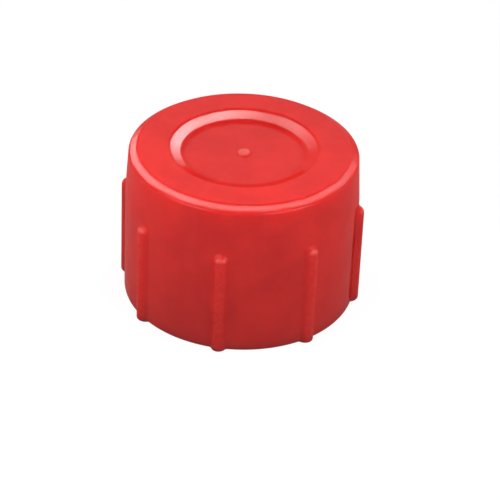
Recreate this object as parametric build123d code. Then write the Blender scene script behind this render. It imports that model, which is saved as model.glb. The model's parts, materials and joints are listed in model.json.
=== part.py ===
from build123d import *
from math import ceil, radians, tan
import os

# Screw-on protection cap for an M22 x 1.5 male thread, moulded in one piece.
# It stands on its open rim: the origin is the centre of that rim, and +Z points to the closed top.
# All lengths are in millimetres.

# Thread
thread_diameter = 22.0       # major diameter of the male thread that the cap protects
thread_pitch = 1.5
thread_depth = 0.6           # from the lands to the sharp root of the groove
thread_flank_angle = 60.0    # between the two flanks of the groove
thread_length = 9.0          # from the foot of the first land to the foot of the last
groove_clearance = 0.1       # between the male crest and the root of the groove
groove_overcut = 0.15        # how far inside the lands the groove is cut from
groove_run_out = 0.6         # how far the groove goes on into the plain bore at each end

# Bore
bore_clearance = 0.25        # between the male crest and the plain bore at both ends of the thread
entry_length = 2.7           # plain bore between the open rim and the thread
relief_length = 4.5          # plain bore between the thread and the roof
lead_in = 0.4                # chamfer at the mouth
roof_chamfer = 0.5           # in the corner between the bore and the roof

# Shell
wall_thickness = 1.75        # outside the plain bore
roof_thickness = 2.0         # under the flat rim of the closed top
band_height = 5.85           # smooth band above the ribs
band_draft = 0.36            # how far the band draws in towards the closed top
rim_radius = 0.8             # rounding between the band and the closed top

# Dish in the closed top
rim_face_width = 4.3         # from the widest part of the closed top in to the crisp edge of the dish
dish_wall_width = 1.8        # straight slope between that edge and the flat floor
dish_foot_radius = 3.0       # rounding where the slope meets the floor
dish_depth = 0.8

# Gate nub in the middle of the dish, where the moulding was fed
nub_radius = 0.7
nub_height = 0.35
nub_edge_chamfer = 0.15

# Grip ribs: half-round beads with ball ends, straight up the wall
rib_count = 8
rib_bead_radius = 0.8
rib_height = 0.68            # how far a bead stands out of the wall

# Radii and levels that follow from the sizes above
groove_radius = thread_diameter / 2 + groove_clearance
land_radius = groove_radius - thread_depth
bore_radius = thread_diameter / 2 + bore_clearance
skirt_radius = bore_radius + wall_thickness
top_radius = skirt_radius - band_draft
dish_radius = top_radius - rim_face_width
dish_floor_radius = dish_radius - dish_wall_width

thread_bottom = entry_length
thread_top = thread_bottom + thread_length
roof_level = thread_top + relief_length
cap_height = roof_level + roof_thickness
dish_floor_level = cap_height - dish_depth
rib_top = cap_height - band_height


def turned(outline):
    """Solid of revolution about the cap's axis, from a closed outline in the XZ plane."""
    with BuildPart() as solid:
        with BuildSketch(Plane.XZ):
            with BuildLine():
                add(outline)
            make_face()
        revolve(axis=Axis.Z)
    return solid.part


def shell():
    """Wall, drawn-in band, rounded rim and closed top with its dish, still without the bore."""
    outside = FilletPolyline(
        (0, 0),
        (skirt_radius, 0),
        (skirt_radius, rib_top),
        (top_radius, cap_height),
        (dish_radius, cap_height),
        (dish_floor_radius, dish_floor_level),
        (0, dish_floor_level),
        radius=[0, 0, rim_radius, 0, dish_foot_radius],
    )
    axis_line = Line((0, dish_floor_level), (0, 0))
    return turned([outside, axis_line])


def gate_nub():
    """Round stub on the dish floor, rooted in the roof, with a softened edge."""
    root_depth = (roof_thickness - dish_depth) / 2
    nub = Cylinder(nub_radius, nub_height + root_depth, align=(Align.CENTER, Align.CENTER, Align.MAX))
    nub = Pos(0, 0, dish_floor_level + nub_height) * nub
    return chamfer(nub.edges().sort_by(Axis.Z)[-1], nub_edge_chamfer)


def grip_ribs():
    """Beads sunk into the wall as far as their height leaves, each closed by a ball at its top."""
    bead_centre_radius = skirt_radius + rib_height - rib_bead_radius
    bead_length = rib_top - rib_bead_radius
    bead = Cylinder(rib_bead_radius, bead_length, align=(Align.CENTER, Align.CENTER, Align.MIN))
    ball = Pos(0, 0, bead_length) * Sphere(rib_bead_radius)
    places = PolarLocations(bead_centre_radius, rib_count, start_angle=-90)
    return [place * (bead + ball) for place in places]


def bore():
    """Plain entry, ring of thread lands with 45-degree ends, relief and roof."""
    land_step = bore_radius - land_radius
    outline = Polyline(
        (0, 0),
        (bore_radius + lead_in, 0),
        (bore_radius, lead_in),
        (bore_radius, thread_bottom),
        (land_radius, thread_bottom + land_step),
        (land_radius, thread_top - land_step),
        (bore_radius, thread_top),
        (bore_radius, roof_level - roof_chamfer),
        (bore_radius - roof_chamfer, roof_level),
        (0, roof_level),
        close=True,
    )
    return turned(outline)


def groove_section(helix):
    """V section of the groove at the lower end of its helix, from inside the lands to its root."""
    mouth_half = (thread_depth + groove_overcut) * tan(radians(thread_flank_angle / 2))
    with BuildSketch(Plane(origin=helix @ 0, x_dir=(1, 0, 0), z_dir=helix % 0)) as section:
        with BuildLine():
            Polyline(
                (-groove_overcut, -mouth_half),
                (thread_depth, 0),
                (-groove_overcut, mouth_half),
                close=True,
            )
        make_face()
    return section.sketch


def thread_groove():
    """Right-hand groove, swept in equal stretches of no more than one turn, each on the end of the last.

    It starts and ends in the plain bore, so both ends run out of the lands.
    """
    rise = thread_length + 2 * groove_run_out
    stretch_count = ceil(rise / thread_pitch)
    stretch_rise = rise / stretch_count
    stretch_turn = 360 * stretch_rise / thread_pitch
    helix = Helix(pitch=thread_pitch, height=stretch_rise, radius=land_radius)
    stretch = sweep(groove_section(helix), path=helix, is_frenet=True)
    bottom = thread_bottom - groove_run_out
    return [
        Pos(0, 0, bottom + index * stretch_rise) * Rot(0, 0, index * stretch_turn) * stretch
        for index in range(stretch_count)
    ]


def cap():
    """The whole moulding."""
    body = shell() + gate_nub() + grip_ribs()
    body = body - bore() - thread_groove()
    body.label = "cap"
    return body


os.makedirs("parts", exist_ok=True)
export_step(cap(), "parts/cap.step")
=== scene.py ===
import json
from functools import reduce
from math import atan, cos, degrees, pi, radians, sin, sqrt, tan

import bmesh
import bpy
import numpy as np
from mathutils import Matrix, Vector


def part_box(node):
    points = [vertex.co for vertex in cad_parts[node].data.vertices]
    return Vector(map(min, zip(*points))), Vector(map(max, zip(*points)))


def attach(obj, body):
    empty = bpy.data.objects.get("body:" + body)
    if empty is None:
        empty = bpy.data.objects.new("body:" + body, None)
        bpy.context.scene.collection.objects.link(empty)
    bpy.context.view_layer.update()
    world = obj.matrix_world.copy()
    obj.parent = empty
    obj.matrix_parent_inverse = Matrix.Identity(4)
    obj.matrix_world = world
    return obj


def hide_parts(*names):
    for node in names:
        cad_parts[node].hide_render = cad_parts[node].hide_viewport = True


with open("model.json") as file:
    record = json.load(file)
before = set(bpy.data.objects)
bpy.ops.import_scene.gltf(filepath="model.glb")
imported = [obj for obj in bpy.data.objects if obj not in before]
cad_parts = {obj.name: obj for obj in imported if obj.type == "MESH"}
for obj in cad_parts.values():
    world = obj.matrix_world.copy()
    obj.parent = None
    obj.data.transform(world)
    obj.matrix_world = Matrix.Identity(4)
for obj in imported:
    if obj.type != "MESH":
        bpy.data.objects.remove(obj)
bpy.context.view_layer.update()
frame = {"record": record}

# ---------------------------------------------------------------- sizes, in metres
# The frame gives the solid's height and reach and its thread. The other sizes are those of its
# source, and those of the softer forms that are only here.
mm = 0.001
full_turn = 2 * pi
cap_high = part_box("cap")[1]
thread_mount = next(mount for mount in frame["record"]["mounts"] if mount["name"] == "thread")

cap_height = cap_high.z
reach = cap_high.x                       # over the grip ribs
land_radius = thread_mount["dims"]["r_mm"] * mm
land_length = thread_mount["dims"]["length_mm"] * mm
land_middle = thread_mount["pos_m"][2]
first_turn = -pi / 2                     # loops start at the rib that points along -Y

# Grip ribs
rib_count = 8
rib_spacing = full_turn / rib_count
rib_height = 0.68 * mm
bead_radius = 0.8 * mm
rib_blend = 0.3 * mm                     # softness of the corner between a bead and the wall
wall_radius = reach - rib_height
bead_centre = reach - bead_radius

# Band above the ribs, and closed top
band_height = 5.85 * mm
band_draft = 0.36 * mm
rib_top = cap_height - band_height
ball_level = rib_top - bead_radius       # middle of the ball that closes a bead
top_radius = wall_radius - band_draft
rim_radius = 0.3 * mm
rim_flat = 0.9 * mm                      # nearly flat stretch within the rounding of the rim
rim_flat_tilt = radians(34)
rim_flat_spread = radians(0.65)          # how far the tilt drifts over that stretch
rim_face_width = 4.3 * mm
dish_radius = top_radius - rim_face_width
dish_wall_width = 1.8 * mm
dish_depth = 0.8 * mm
dish_floor_radius = dish_radius - dish_wall_width
dish_floor = cap_height - dish_depth
dish_wall_slope = dish_depth / dish_wall_width
dish_edge_blend = 0.10 * mm              # softness of the corner at the top of the dish's wall
dish_floor_blend = 0.22 * mm             # and at its foot

# Gate nub
nub_radius = 0.7 * mm
nub_height = 0.35 * mm
nub_side_slope = tan(radians(75))
nub_crown = 0.20 * mm                    # how far the nub's top is domed
nub_blend = 0.18 * mm

# Bore and thread
thread_pitch = 1.5 * mm
thread_depth = 0.6 * mm
flank_slope = tan(radians(30))           # half of the 60 degrees between the flanks
root_softness = 0.03 * mm                # how far the root of the groove is rounded off
land_blend = 0.07 * mm                   # softness of the edges of the lands
land_height = 0.75 * mm                  # of the lands over the plain bore
groove_run_out = 0.6 * mm
bore_radius = land_radius + land_height
thread_bottom = land_middle - land_length / 2 - land_height
thread_top = land_middle + land_length / 2 + land_height
groove_start = thread_bottom - groove_run_out + thread_pitch * first_turn / full_turn
lead_in = 0.4 * mm
roof_thickness = 2.0 * mm
roof_level = cap_height - roof_thickness
roof_chamfer = 0.5 * mm

# Edges and fineness of the mesh
open_edge_radius = 0.4 * mm
edge_support = 0.06 * mm                 # flat strip kept beside each rounded edge
corner_softness = 0.02 * mm              # how far a row stands off the sharp corner of a chamfer
dish_columns = 192
bore_columns = 240


# ---------------------------------------------------------------- mesh helpers
def soft_max(a, b, blend):
    """The larger of two values, rounded over where they are closer than blend."""
    share = np.clip(0.5 + 0.5 * (a - b) / blend, 0, 1)
    return b + (a - b) * share + blend * share * (1 - share)


def soft_min(a, b, blend):
    """The smaller of two values, rounded over in the same way."""
    return -soft_max(-a, -b, blend)


def steps(*stops):
    """Values through the stops: steps((0, 4), (10, 2), (12, 0)) is 4 steps to 10, then 2 to 12."""
    values = [stops[0][0]]
    for (start, count), (end, _) in zip(stops, stops[1:]):
        values.extend(np.linspace(start, end, count + 1)[1:])
    return np.array(values)


def there_and_back(half, whole):
    """Values up to the middle of a whole, and their mirror images up to just short of its end."""
    return np.concatenate([half, whole - half[-2:0:-1]])


def even_turns(count):
    """Angles of that many columns, evenly spaced."""
    return np.linspace(0, full_turn, count, endpoint=False)


def polar_grid(radius, height, turn):
    """Points, rows by columns, from their distance to the axis, height and angle."""
    radius, height, turn = np.broadcast_arrays(radius, height, first_turn + turn)
    return np.stack([radius * np.cos(turn), radius * np.sin(turn), height], axis=-1)


def turned_grid(profile, turns):
    """Points of a profile of (radius, height) pairs, turned through the given angles."""
    radius, height = np.array(profile, float).T
    return polar_grid(radius[:, None], height[:, None], turns)


def in_scene(name, data):
    """New object that holds the data, in the scene."""
    item = bpy.data.objects.new(name, data)
    bpy.context.collection.objects.link(item)
    return item


class Moulding:
    """Faces of one closed skin, collected in patches that share the points where they meet."""

    weld_distance = 0.0001 * mm

    def __init__(self):
        self.points = []
        self.faces = []

    def add_grid(self, grid, closed=True):
        """Quads over a grid of points. A closed grid joins its last column to its first."""
        rows, columns = grid.shape[:2]
        first = len(self.points)
        self.points.extend(grid.reshape(-1, 3))
        for row in range(rows - 1):
            low, high = first + row * columns, first + (row + 1) * columns
            for column in range(columns if closed else columns - 1):
                beside = (column + 1) % columns
                self.faces.append((low + column, low + beside, high + beside, high + column))

    def add_ring(self, outer, outer_turns, inner, inner_turns):
        """Triangles between two level loops that start on one line, of any number of points.

        Each triangle stands on the next edge of one loop: the edge that ends at the smaller angle.
        """
        first_outer = len(self.points)
        self.points.extend(outer)
        first_inner = len(self.points)
        self.points.extend(inner)
        outer_ends = np.append(outer_turns[1:], full_turn)
        inner_ends = np.append(inner_turns[1:], full_turn)
        a = b = 0
        while a < len(outer) or b < len(inner):
            corner_a = first_outer + a % len(outer)
            corner_b = first_inner + b % len(inner)
            if b == len(inner) or (a < len(outer) and outer_ends[a] <= inner_ends[b]):
                a += 1
                self.faces.append((corner_a, first_outer + a % len(outer), corner_b))
            else:
                b += 1
                self.faces.append((corner_a, first_inner + b % len(inner), corner_b))

    def weld(self, name):
        """One mesh object, with the patches' shared points joined and all faces outwards."""
        mesh = bpy.data.meshes.new(name)
        mesh.from_pydata([tuple(point) for point in self.points], [], self.faces)
        skin = bmesh.new()
        skin.from_mesh(mesh)
        bmesh.ops.remove_doubles(skin, verts=skin.verts, dist=self.weld_distance)
        bmesh.ops.dissolve_degenerate(skin, edges=skin.edges, dist=self.weld_distance)
        bmesh.ops.recalc_face_normals(skin, faces=skin.faces)
        skin.to_mesh(mesh)
        skin.free()
        mesh.shade_smooth()
        return in_scene(name, mesh)


# ---------------------------------------------------------------- outside
def rib_turns():
    """Angles of the outer columns: close together on the flanks of the beads, wide apart between.

    A bead's side stands about 3.5 degrees from its middle, and its blend into the wall ends by 6.
    """
    half_sector = degrees(rib_spacing / 2)
    half = np.radians(steps((0, 10), (2.7, 15), (4.6, 5), (6.0, 10), (half_sector, 0)))
    sector = there_and_back(half, rib_spacing)
    return np.concatenate([sector + rib_spacing * rib for rib in range(rib_count)])


def wall_at(height):
    """Radius of the wall without its ribs: straight, then drawn in towards the closed top."""
    return wall_radius - band_draft * np.clip((height - rib_top) / band_height, 0, 1)


def ribbed_radius(height, turn):
    """Distance from the axis to the wall with its beads, where the two are blended together.

    It is found by halving the stretch in which the surface lies.
    """
    height, turn = np.broadcast_arrays(height, turn)
    from_bead = (turn + rib_spacing / 2) % rib_spacing - rib_spacing / 2
    over_ball = np.maximum(height - ball_level, 0)
    low = wall_at(height) - rib_blend
    high = np.full_like(low, reach + rib_blend)
    halvings = 36
    for _ in range(halvings):
        middle = (low + high) / 2
        to_wall = middle - wall_at(height)
        across, out = middle * np.sin(from_bead), middle * np.cos(from_bead) - bead_centre
        to_bead = np.sqrt(across**2 + out**2 + over_ball**2) - bead_radius
        within = soft_min(to_wall, to_bead, rib_blend) < 0
        low = np.where(within, middle, low)
        high = np.where(within, high, middle)
    return np.minimum(low, reach)


def rim_arc():
    """Profile of the rounding between the band and the closed top, from the band up.

    The profile bends with the rim's radius, and hardly at all around the tilt of the flat stretch.
    """
    tilts = np.radians(np.linspace(0, 90, 541))          # every sixth of a degree
    near_flat = np.exp(-(((tilts - rim_flat_tilt) / rim_flat_spread) ** 2))
    bend = rim_radius + rim_flat / (rim_flat_spread * sqrt(pi)) * near_flat
    lengths = (bend[1:] + bend[:-1]) / 2 * np.diff(tilts)
    middle_tilts = (tilts[1:] + tilts[:-1]) / 2
    out = np.concatenate([[0], np.cumsum(lengths * np.cos(middle_tilts))])
    down = np.concatenate([[0], np.cumsum(lengths * np.sin(middle_tilts))])

    band_tilt = 90 - degrees(atan(band_draft / band_height))
    row_tilts = np.radians([
        0, 7, 14, 20, 25, 29, 32, 33.4, 34, 34.6, 36, 39, 43, 48, 55, 63, 71, 79, band_tilt,
    ])
    out = np.interp(row_tilts, tilts, out)
    down = np.interp(row_tilts, tilts, down)
    start = wall_at(cap_height - down[-1]) - out[-1]
    return [(start + run, cap_height - fall) for run, fall in zip(out[::-1], down[::-1])]


def outer_wall(skin, turns):
    """From the open rim up to the flat face of the closed top. Gives the radii where both end."""
    edge_angles = np.linspace(0, pi / 2, 5)
    edge_heights = open_edge_radius * (1 - np.cos(edge_angles))
    edge_insets = open_edge_radius * (1 - np.sin(edge_angles))
    arc = rim_arc()
    upper = steps(
        (open_edge_radius + edge_support, 8),
        (ball_level - 0.2 * mm, 10),     # rows are close over the ball that ends a bead
        (rib_top - 0.25 * mm, 12),       # and closest where it runs out into the band
        (rib_top + 0.15 * mm, 8),
        (arc[0][1] - edge_support, 0),
    )
    heights = np.concatenate([edge_heights, upper])[:, None]
    insets = np.concatenate([edge_insets, 0 * upper])[:, None]
    radii = ribbed_radius(heights, turns) - insets
    skin.add_grid(polar_grid(radii, heights, turns))
    flat_radius = arc[-1][0] - edge_support
    skin.add_grid(turned_grid(
        [(wall_at(upper[-1]), upper[-1]), *arc, (flat_radius, cap_height)], turns,
    ))
    return radii[0], flat_radius


def top_height(radius):
    """Height of the closed top over its radius: flat rim face, dish with sloping wall, nub."""
    dish_wall = cap_height - (dish_radius - radius) * dish_wall_slope
    dish = soft_max(dish_floor, dish_wall, dish_floor_blend)
    nub_top = dish_floor + nub_height - nub_crown * (radius / nub_radius) ** 2
    nub_foot = nub_radius + nub_height / nub_side_slope
    nub_side = dish_floor + (nub_foot - radius) * nub_side_slope
    nub = soft_min(nub_top, nub_side, nub_blend)
    return soft_max(soft_min(dish, cap_height, dish_edge_blend), nub, nub_blend)


def closed_top(skin, outer_turns, flat_radius):
    """Nub and dish, and the flat rim face around them out to the wall's last row."""
    turns = even_turns(dish_columns)
    radii = steps(
        (0, 6),
        (nub_radius - 0.2 * mm, 12),     # rows are close on the side of the nub
        (nub_radius + 0.3 * mm, 6),
        (dish_floor_radius - 0.9 * mm, 22),
        (dish_radius - 0.4 * mm, 14),    # and on both sides of the dish's edge
        (dish_radius + 0.4 * mm, 2),
        (dish_radius + 0.6 * mm, 0),
    )
    skin.add_grid(turned_grid(list(zip(radii, top_height(radii))), turns))
    flat_loop = polar_grid(flat_radius, cap_height, outer_turns)
    dish_loop = polar_grid(radii[-1], top_height(radii[-1]), turns)
    skin.add_ring(flat_loop, outer_turns, dish_loop, turns)


# ---------------------------------------------------------------- inside
def threaded_radius(height, turn):
    """Distance from the axis to the bore: plain, ring of lands with 45-degree ends, groove."""
    from_ends = np.minimum(height - thread_bottom, thread_top - height)
    ring = bore_radius - np.clip(from_ends, 0, land_height)
    groove_level = groove_start + thread_pitch * turn / full_turn
    off_groove = (height - groove_level + thread_pitch / 2) % thread_pitch - thread_pitch / 2
    off_groove = np.sqrt(off_groove**2 + root_softness**2) - root_softness
    groove = land_radius + thread_depth - off_groove / flank_slope
    return np.minimum(soft_max(ring, groove, land_blend), bore_radius)


def threaded_bore(skin):
    """Rows that climb with the thread, and end at both ends in level circles of the plain bore."""
    bottom = thread_bottom - edge_support
    top = thread_top + edge_support
    # Shares of the pitch, from the groove's root: rows are closest where a flank meets a land.
    half_pitch = np.array([0, 0.03, 0.08, 0.14, 0.19, 0.225, 0.26, 0.32, 0.41, 0.5])
    in_pitch = thread_pitch * there_and_back(half_pitch, 1)
    turn_count = int((top - bottom) / thread_pitch) + 4
    below = int((groove_start - bottom) / thread_pitch) + 2
    rows = np.concatenate([in_pitch + thread_pitch * (turn - below) for turn in range(turn_count)])
    turns = np.append(even_turns(bore_columns), full_turn)
    heights = groove_start + rows[:, None] + thread_pitch * turns / full_turn
    heights = np.clip(heights, bottom, top)
    skin.add_grid(polar_grid(threaded_radius(heights, turns), heights, turns), closed=False)
    return bottom, top


def inside(skin, outer_turns, foot_radii):
    """Open rim, mouth, threaded bore, relief and roof."""
    turns = even_turns(bore_columns)
    bottom, top = threaded_bore(skin)
    mouth = bore_radius + lead_in
    skin.add_grid(turned_grid([
        (mouth + edge_support, 0),
        (mouth, corner_softness),
        (mouth - edge_support, edge_support),
        (bore_radius + edge_support, lead_in - edge_support),
        (bore_radius, lead_in + corner_softness),
        (bore_radius, lead_in + 2 * edge_support),
        (bore_radius, bottom),
    ], turns))
    chamfer_level = roof_level - roof_chamfer
    roof_radius = bore_radius - roof_chamfer
    skin.add_grid(turned_grid([
        (bore_radius, top),
        (bore_radius, chamfer_level - edge_support),
        (bore_radius - corner_softness, chamfer_level + corner_softness),
        (roof_radius + corner_softness, roof_level - corner_softness),
        (roof_radius - edge_support, roof_level),
        *((roof_radius * share, roof_level) for share in (0.6, 0.2, 0)),
    ], turns))
    foot_loop = polar_grid(foot_radii, 0, outer_turns)
    mouth_loop = polar_grid(mouth + edge_support, 0, turns)
    skin.add_ring(foot_loop, outer_turns, mouth_loop, turns)


# ---------------------------------------------------------------- the cap
def moulded_cap():
    """The whole cap as one closed skin."""
    skin = Moulding()
    turns = rib_turns()
    foot_radii, flat_radius = outer_wall(skin, turns)
    closed_top(skin, turns, flat_radius)
    inside(skin, turns, foot_radii)
    return skin.weld("moulded_cap")


cap = moulded_cap()
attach(cap, "root")
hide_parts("cap")


# ---------------------------------------------------------------- wiring of materials
class Wiring:
    """Node tree of a material or of the surroundings, wired as its nodes are added."""

    def __init__(self, tree):
        self.tree = tree

    def add(self, kind, inputs=None, **settings):
        """New node of a kind, with its settings made before its inputs."""
        node = self.tree.nodes.new("ShaderNode" + kind)
        for name, value in settings.items():
            setattr(node, name, value)
        return self.set(node, inputs or {})

    def set(self, node, inputs):
        """Links each input, by name or place, to the output given for it, or sets its value."""
        for key, value in inputs.items():
            if isinstance(value, bpy.types.NodeSocket):
                self.tree.links.new(value, node.inputs[key])
            else:
                node.inputs[key].default_value = value
        return node

    def math(self, operation, *values):
        return self.add("Math", dict(enumerate(values)), operation=operation).outputs[0]

    def vector_math(self, operation, *values):
        return self.add("VectorMath", dict(enumerate(values)), operation=operation).outputs[0]

    def scaled(self, vector, factor):
        inputs = {"Vector": vector, "Scale": factor}
        return self.add("VectorMath", inputs, operation="SCALE").outputs[0]

    def chain(self, operation, values):
        """One operation carried on from the first value to the last."""
        return reduce(lambda first, second: self.math(operation, first, second), values)

    def product(self, *factors):
        return self.chain("MULTIPLY", factors)

    def total(self, *values):
        return self.chain("ADD", values)

    def noise(self, place, scale, detail=2.0, roughness=0.5):
        inputs = {"Vector": place, "Scale": scale, "Detail": detail, "Roughness": roughness}
        return self.add("TexNoise", inputs).outputs["Fac"]

    def ramp(self, value, start, end, low=0.0, high=1.0):
        """Smooth step from low to high as the value goes from start to end."""
        inputs = {"Value": value, "From Min": start, "From Max": end, "To Min": low, "To Max": high}
        return self.add("MapRange", inputs, interpolation_type="SMOOTHSTEP").outputs["Result"]

    def past(self, length, start, end):
        """Smooth step from 0 to 1 as a length, wired in millimetres, goes from start to end."""
        return self.ramp(length, start / mm, end / mm)

    def near(self, length, middle, half_width):
        """1 where a length, wired in millimetres, is at the middle, and 0 half a width away."""
        off = self.math("ABSOLUTE", self.math("SUBTRACT", length, middle / mm))
        return self.past(off, half_width, 0.0)

    def blend(self, share, first, second):
        """Colour from the first to the second. The node keeps its colours in sockets 6, 7 and 2."""
        inputs = {"Factor": share, 6: first, 7: second}
        return self.add("Mix", inputs, data_type="RGBA").outputs[2]


class Finish(Wiring):
    """Wiring of one material."""

    def __init__(self, name):
        self.material = bpy.data.materials.new(name)
        self.material.use_nodes = True
        super().__init__(self.material.node_tree)
        self.shader = self.tree.nodes["Principled BSDF"]


# ---------------------------------------------------------------- red polyethylene
deep_red = (0.64, 0.014, 0.012, 1)
bright_red = (0.74, 0.020, 0.016, 1)
streak_red = (0.80, 0.040, 0.032, 1)
# Paler red: real wear on the edges, and also the painted highlights on the beads' tips and on the
# nub.
worn_and_painted_highlight_red = (0.88, 0.13, 0.11, 1)


def cap_coordinates(finish):
    """Place, distance from the axis and height in millimetres, and the unit vector off the axis."""
    place = finish.scaled(finish.add("TexCoord").outputs["Object"], 1 / mm)
    off_axis = finish.vector_math("MULTIPLY", place, (1, 1, 0))
    radius = finish.add("VectorMath", {"Vector": off_axis}, operation="LENGTH").outputs["Value"]
    level = finish.add("SeparateXYZ", {"Vector": place}).outputs["Z"]
    return place, radius, level, finish.vector_math("NORMALIZE", off_axis)


def flow_streaks(finish, radius, level, around, across, along):
    """Noise drawn out into rays on the top, and on down the wall into upright lines."""
    run = finish.add("CombineXYZ", {"Z": finish.product(finish.total(radius, level), along)})
    drawn_out = finish.vector_math("ADD", finish.scaled(around, across), run.outputs[0])
    return finish.noise(drawn_out, scale=1.0, detail=4, roughness=0.6)


def scuffs(finish, place):
    """Short fine scratches in three directions, as a share from 0 to 1."""
    lines = []
    for turn, across, along in ((25, 9.0, 0.35), (-50, 11.0, 0.3), (80, 8.0, 0.5)):
        turn = radians(turn)
        drawn_out = finish.add("Mapping", {
            "Vector": place,
            "Rotation": (turn / 2, turn, turn),
            "Scale": (across, along, along),
        })
        lines.append(finish.ramp(finish.noise(drawn_out.outputs[0], scale=1.0), 0.68, 0.76))
    return finish.math("MINIMUM", finish.total(*lines), 1.0)


def handled_edges(finish, place, radius, level):
    """Patchy wear on what stands out: the crowns of the beads, the rim and the dish's edge."""
    crown = finish.past(radius, wall_radius + 0.4 * mm, reach - 0.04 * mm)
    rim = finish.product(
        finish.past(level, cap_height - rim_radius, cap_height - 0.25 * mm),
        finish.past(radius, top_radius - rim_radius - 0.3 * mm, top_radius - 0.3 * mm),
    )
    dish_edge = finish.product(
        finish.past(level, cap_height - 0.15 * mm, cap_height),
        finish.near(radius, dish_radius, 0.3 * mm),
    )
    patches = finish.ramp(finish.noise(place, scale=2.2, detail=5, roughness=0.65), 0.38, 0.66)
    return finish.product(finish.total(crown, rim, dish_edge), patches)


def red_polyethylene():
    """Coloured-through polyethylene: waxy, with flow marks from the gate and light wear, and
    highlights painted on the beads' tips and on the nub.
    """
    finish = Finish("red_polyethylene")
    place, radius, level, around = cap_coordinates(finish)

    clouds = finish.noise(place, scale=0.16, detail=3)
    mottle = finish.noise(place, scale=1.4, detail=4)
    streaks = flow_streaks(finish, radius, level, around, across=11.0, along=0.05)
    scratches = scuffs(finish, place)
    worn = handled_edges(finish, place, radius, level)
    # Painted highlight: the balls that end the beads are lightened where the lamps would leave a
    # small glint.
    painted_rib_tip_highlight = finish.product(
        finish.past(radius, wall_radius + 0.25 * mm, wall_radius + 0.5 * mm),
        finish.past(level, ball_level, rib_top - 0.35 * mm),
    )
    # The nub's cut gate is paler from stress whitening; the same colour share also paints a
    # highlight on it.
    nub = finish.product(
        finish.past(radius, nub_radius + 0.25 * mm, nub_radius - 0.1 * mm),
        finish.past(level, dish_floor + 0.05 * mm, dish_floor + 0.3 * mm),
    )
    lands = finish.product(
        finish.past(radius, land_radius + 0.12 * mm, land_radius + 0.02 * mm),
        finish.past(level, thread_bottom, thread_bottom + 0.5 * mm),
        finish.past(level, thread_top, thread_top - 0.5 * mm),
    )

    colour = finish.blend(finish.ramp(clouds, 0.35, 0.65), deep_red, bright_red)
    for share, tint in (
        (finish.ramp(streaks, 0.45, 0.8, high=0.14), streak_red),
        (finish.ramp(mottle, 0.55, 0.8, high=0.25), deep_red),
        (finish.product(worn, 0.14), worn_and_painted_highlight_red),
        # painted highlight at the top end of each bead
        (finish.product(painted_rib_tip_highlight, 0.5), worn_and_painted_highlight_red),
        # nub: stress whitening, lightened further as a painted highlight
        (finish.product(nub, 0.8), worn_and_painted_highlight_red),
    ):
        colour = finish.blend(share, colour, tint)

    roughness = finish.total(
        finish.ramp(clouds, 0.3, 0.7, low=0.36, high=0.44),
        finish.ramp(streaks, 0.4, 0.75, high=0.07),
        finish.product(worn, 0.08),
        finish.product(nub, 0.1),
        finish.product(scratches, 0.1),
        finish.product(lands, -0.1),
    )
    gloss = finish.total(
        finish.ramp(clouds, 0.3, 0.7, low=0.14, high=0.12),
        finish.product(worn, -0.05),
        finish.product(scratches, -0.08),
    )
    relief = finish.total(               # in millimetres
        finish.product(finish.noise(place, scale=7.0, detail=3), 0.0008),
        finish.product(finish.noise(place, scale=0.5), 0.012),
        finish.product(streaks, 0.002),
        finish.product(nub, mottle, 0.06),
    )
    bump = finish.add("Bump", {"Strength": 1.0, "Distance": mm, "Height": relief})

    # All of the gloss comes from the coat: a thin sharp shine over a soft, deep colour.
    finish.set(finish.shader, {
        "Base Color": colour,
        "Roughness": roughness,
        "Normal": bump.outputs["Normal"],
        "IOR": 1.51,
        "Specular IOR Level": 0.0,
        "Coat Weight": gloss,
        "Coat Roughness": 0.08,
        "Coat IOR": 2.0,
        "Coat Normal": bump.outputs["Normal"],
        "Subsurface Weight": 0.7,
        "Subsurface Radius": (1.0, 0.25, 0.2),
        "Subsurface Scale": 5.0 * mm,
    })
    return finish.material


cap.data.materials.append(red_polyethylene())


# ---------------------------------------------------------------- camera
view_turn = radians(8.5)                 # the camera stands this far round from -Y
view_lift = radians(33.7)
view_roll = radians(2.5)
view_distance = 20 * wall_radius
view_aim = (0.086 * wall_radius, 0.359 * wall_radius)    # to the right of the axis, and up it
lens_length = 166.0                      # in millimetres, as is the sensor's width
sensor_width = 36.0
camera_right = Vector((cos(view_turn), sin(view_turn), 0))
camera_back = Vector((
    sin(view_turn) * cos(view_lift), -cos(view_turn) * cos(view_lift), sin(view_lift),
))
aim_place = camera_right * view_aim[0] + Vector((0, 0, view_aim[1]))
camera_place = aim_place + camera_back * view_distance


def facing(place, right, up, back):
    """Where an object stands and how it is turned, from the directions of its own three axes."""
    return Matrix.Translation(place) @ Matrix((right, up, back)).transposed().to_4x4()


def camera():
    """Camera, rolled a little about its own line of sight."""
    up = camera_back.cross(camera_right)
    rolled_right = cos(view_roll) * camera_right + sin(view_roll) * up
    rolled_up = cos(view_roll) * up - sin(view_roll) * camera_right
    data = bpy.data.cameras.new("camera")
    data.sensor_width = sensor_width
    data.lens = lens_length
    data.clip_start = 0.01
    viewer = in_scene("camera", data)
    viewer.matrix_world = facing(camera_place, rolled_right, rolled_up, camera_back)
    bpy.context.scene.camera = viewer


# ---------------------------------------------------------------- lamps
cap_top = Vector((0, 0, cap_height))     # every lamp faces it, and its place is given from here
mirrored_distance = 0.30                 # of the lamps that show mirrored in the cap
front_distance = 0.055                   # of the two lamps that light the wall
front_lift = 22                          # in degrees, as are all turns of lamps
arc_step = 15.0                          # between the places on a ring that have a radiance


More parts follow.
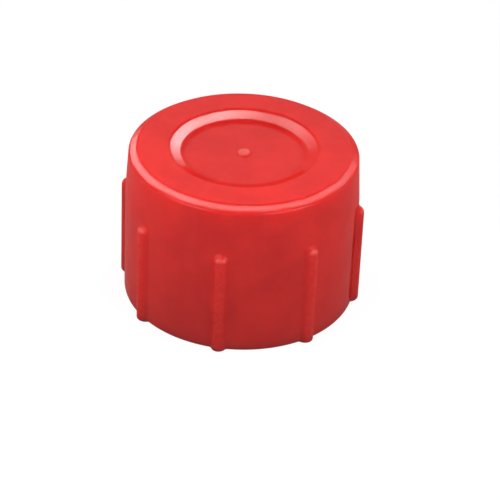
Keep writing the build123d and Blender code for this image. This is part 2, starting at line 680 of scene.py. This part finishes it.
def lamp(name, start, end, width, radiance):
    """Flat lamp that reaches from one place to another."""
    away = (start + end).normalized()
    along = (end - start).normalized()
    distance = start.length
    data = bpy.data.lights.new(name, "AREA")
    data.shape = "RECTANGLE"
    data.size = 2 * distance * tan(start.angle(end) / 2)
    data.size_y = width
    data.energy = radiance * pi * data.size * data.size_y
    item = in_scene(name, data)
    item.visible_camera = False
    item.matrix_world = facing(cap_top + away * distance, along, away.cross(along), away)


def front_place(turn):
    """Place near the cap, before its wall. The turn is counted from -Y towards +X."""
    turn, lift = radians(turn), radians(front_lift)
    return front_distance * Vector((sin(turn) * cos(lift), -cos(turn) * cos(lift), sin(lift)))


def mirrored(around, radius, height, tilt):
    """Place of a lamp that the camera sees mirrored in a spot of the cap.

    The spot is given by its turn from the far side towards the camera's right, its radius and
    height, and how far the surface leans outwards there.
    """
    outwards = Matrix.Rotation(view_turn - around, 3, "Z") @ Vector((0, 1, 0))
    normal = sin(tilt) * outwards + Vector((0, 0, cos(tilt)))
    spot = radius * outwards + Vector((0, 0, height))
    to_camera = (camera_place - spot).normalized()
    away = 2 * normal.dot(to_camera) * normal - to_camera
    offset = spot - cap_top
    to_nearest = -offset.dot(away)       # from the spot to where the line is nearest to the top
    beyond = sqrt(to_nearest**2 - offset.length_squared + mirrored_distance**2)
    return offset + (to_nearest + beyond) * away


def lamp_arc(name, first, radiances, spot, width):
    """Short lamps end to end along the line that a ring on the cap mirrors.

    The radiances belong to places on the ring, from the first turn on, and change evenly between
    them. The spot is the ring's radius, height and tilt.
    """
    given = first + arc_step * np.arange(len(radiances))
    turns = np.linspace(given[0], given[-1], 2 * len(radiances) - 1)
    ends = [mirrored(radians(turn), *spot) for turn in turns]
    in_middle = np.interp((turns[1:] + turns[:-1]) / 2, given, radiances)
    for number, (start, end, radiance) in enumerate(zip(ends, ends[1:], in_middle), start=1):
        lamp(f"{name}_{number}", start, end, width, radiance)


def lamps():
    """Two arcs mirrored in the dish's wall and in the rim, a rear panel and two front lamps."""
    dish_wall_middle = dish_radius - dish_wall_width / 2
    lamp_arc(
        "rear_arc",
        first=-120,
        radiances=[0, 8, 20, 33, 33, 32, 34, 38, 27, 15, 14, 16, 10, 4, 0],
        spot=(dish_wall_middle, top_height(dish_wall_middle), -atan(dish_wall_slope)),
        width=0.007,
    )
    lamp_arc(
        "overhead_arc",
        first=90,
        radiances=[0, 5, 8, 11, 12, 13.5, 14, 14.5, 16.5, 18, 17.5, 16, 12, 0],
        spot=(top_radius - rim_flat / 2, cap_height - rim_flat / 4, rim_flat_tilt),
        width=0.009,
    )
    # The panel shows in the flat top. It is wide enough to be placed from a level spot at the foot.
    rear = mirrored(around=0, radius=0, height=0, tilt=0)
    panel_half = 0.045 * camera_right
    lamp("rear_panel", rear - panel_half, rear + panel_half, width=0.065, radiance=0.8)
    lamp("left_front", front_place(-59), front_place(-18), width=0.03, radiance=4.7)
    lamp("right_front", front_place(31), front_place(72), width=0.03, radiance=4.6)


# ---------------------------------------------------------------- floor and surroundings
white = (1, 1, 1, 1)
floor_grey = (0.15, 0.15, 0.15, 1)
floor_half = 1.5
floor_glow = 0.88
ambient = 0.25                           # share of the surroundings that lights the cap
ceiling = 0.17                           # brightness of the ceiling, where the horizon has 1
horizon_top = radians(25)                # the brightness falls between these two heights
ceiling_foot = radians(60)


def background_share(wiring):
    """1 for what the camera sees, also mirrored or through something, and 0 for other light."""
    path = wiring.add("LightPath")
    seen = ("Is Camera Ray", "Is Glossy Ray", "Is Transmission Ray")
    return wiring.chain("MAXIMUM", [path.outputs[ray] for ray in seen])


def floor():
    """Pale floor that glows for the camera, so that it is nearly white but still takes shade."""
    mesh = bpy.data.meshes.new("floor")
    signs = ((-1, -1), (1, -1), (1, 1), (-1, 1))
    mesh.from_pydata([(x * floor_half, y * floor_half, 0) for x, y in signs], [], [(0, 1, 2, 3)])
    finish = Finish("floor")
    finish.set(finish.shader, {
        "Base Color": floor_grey,
        "Roughness": 1.0,
        "Specular IOR Level": 0.0,
        "Emission Color": white,
        "Emission Strength": finish.product(background_share(finish), floor_glow),
    })
    mesh.materials.append(finish.material)
    in_scene("floor", mesh)


def surroundings():
    """Pale studio round the horizon, under a dim ceiling."""
    world = bpy.data.worlds.new("surroundings")
    world.use_nodes = True
    wiring = Wiring(world.node_tree)
    direction = wiring.add("SeparateXYZ", {0: wiring.add("TexCoord").outputs["Generated"]})
    up = direction.outputs["Z"]
    backdrop = wiring.ramp(up, sin(horizon_top), sin(ceiling_foot), low=1.0, high=ceiling)
    share = wiring.ramp(background_share(wiring), 0.0, 1.0, low=ambient)
    wiring.set(world.node_tree.nodes["Background"], {
        "Color": white,
        "Strength": wiring.product(backdrop, share),
    })
    bpy.context.scene.world = world


floor()
surroundings()
camera()
lamps()
bpy.context.scene.view_settings.view_transform = "Standard"
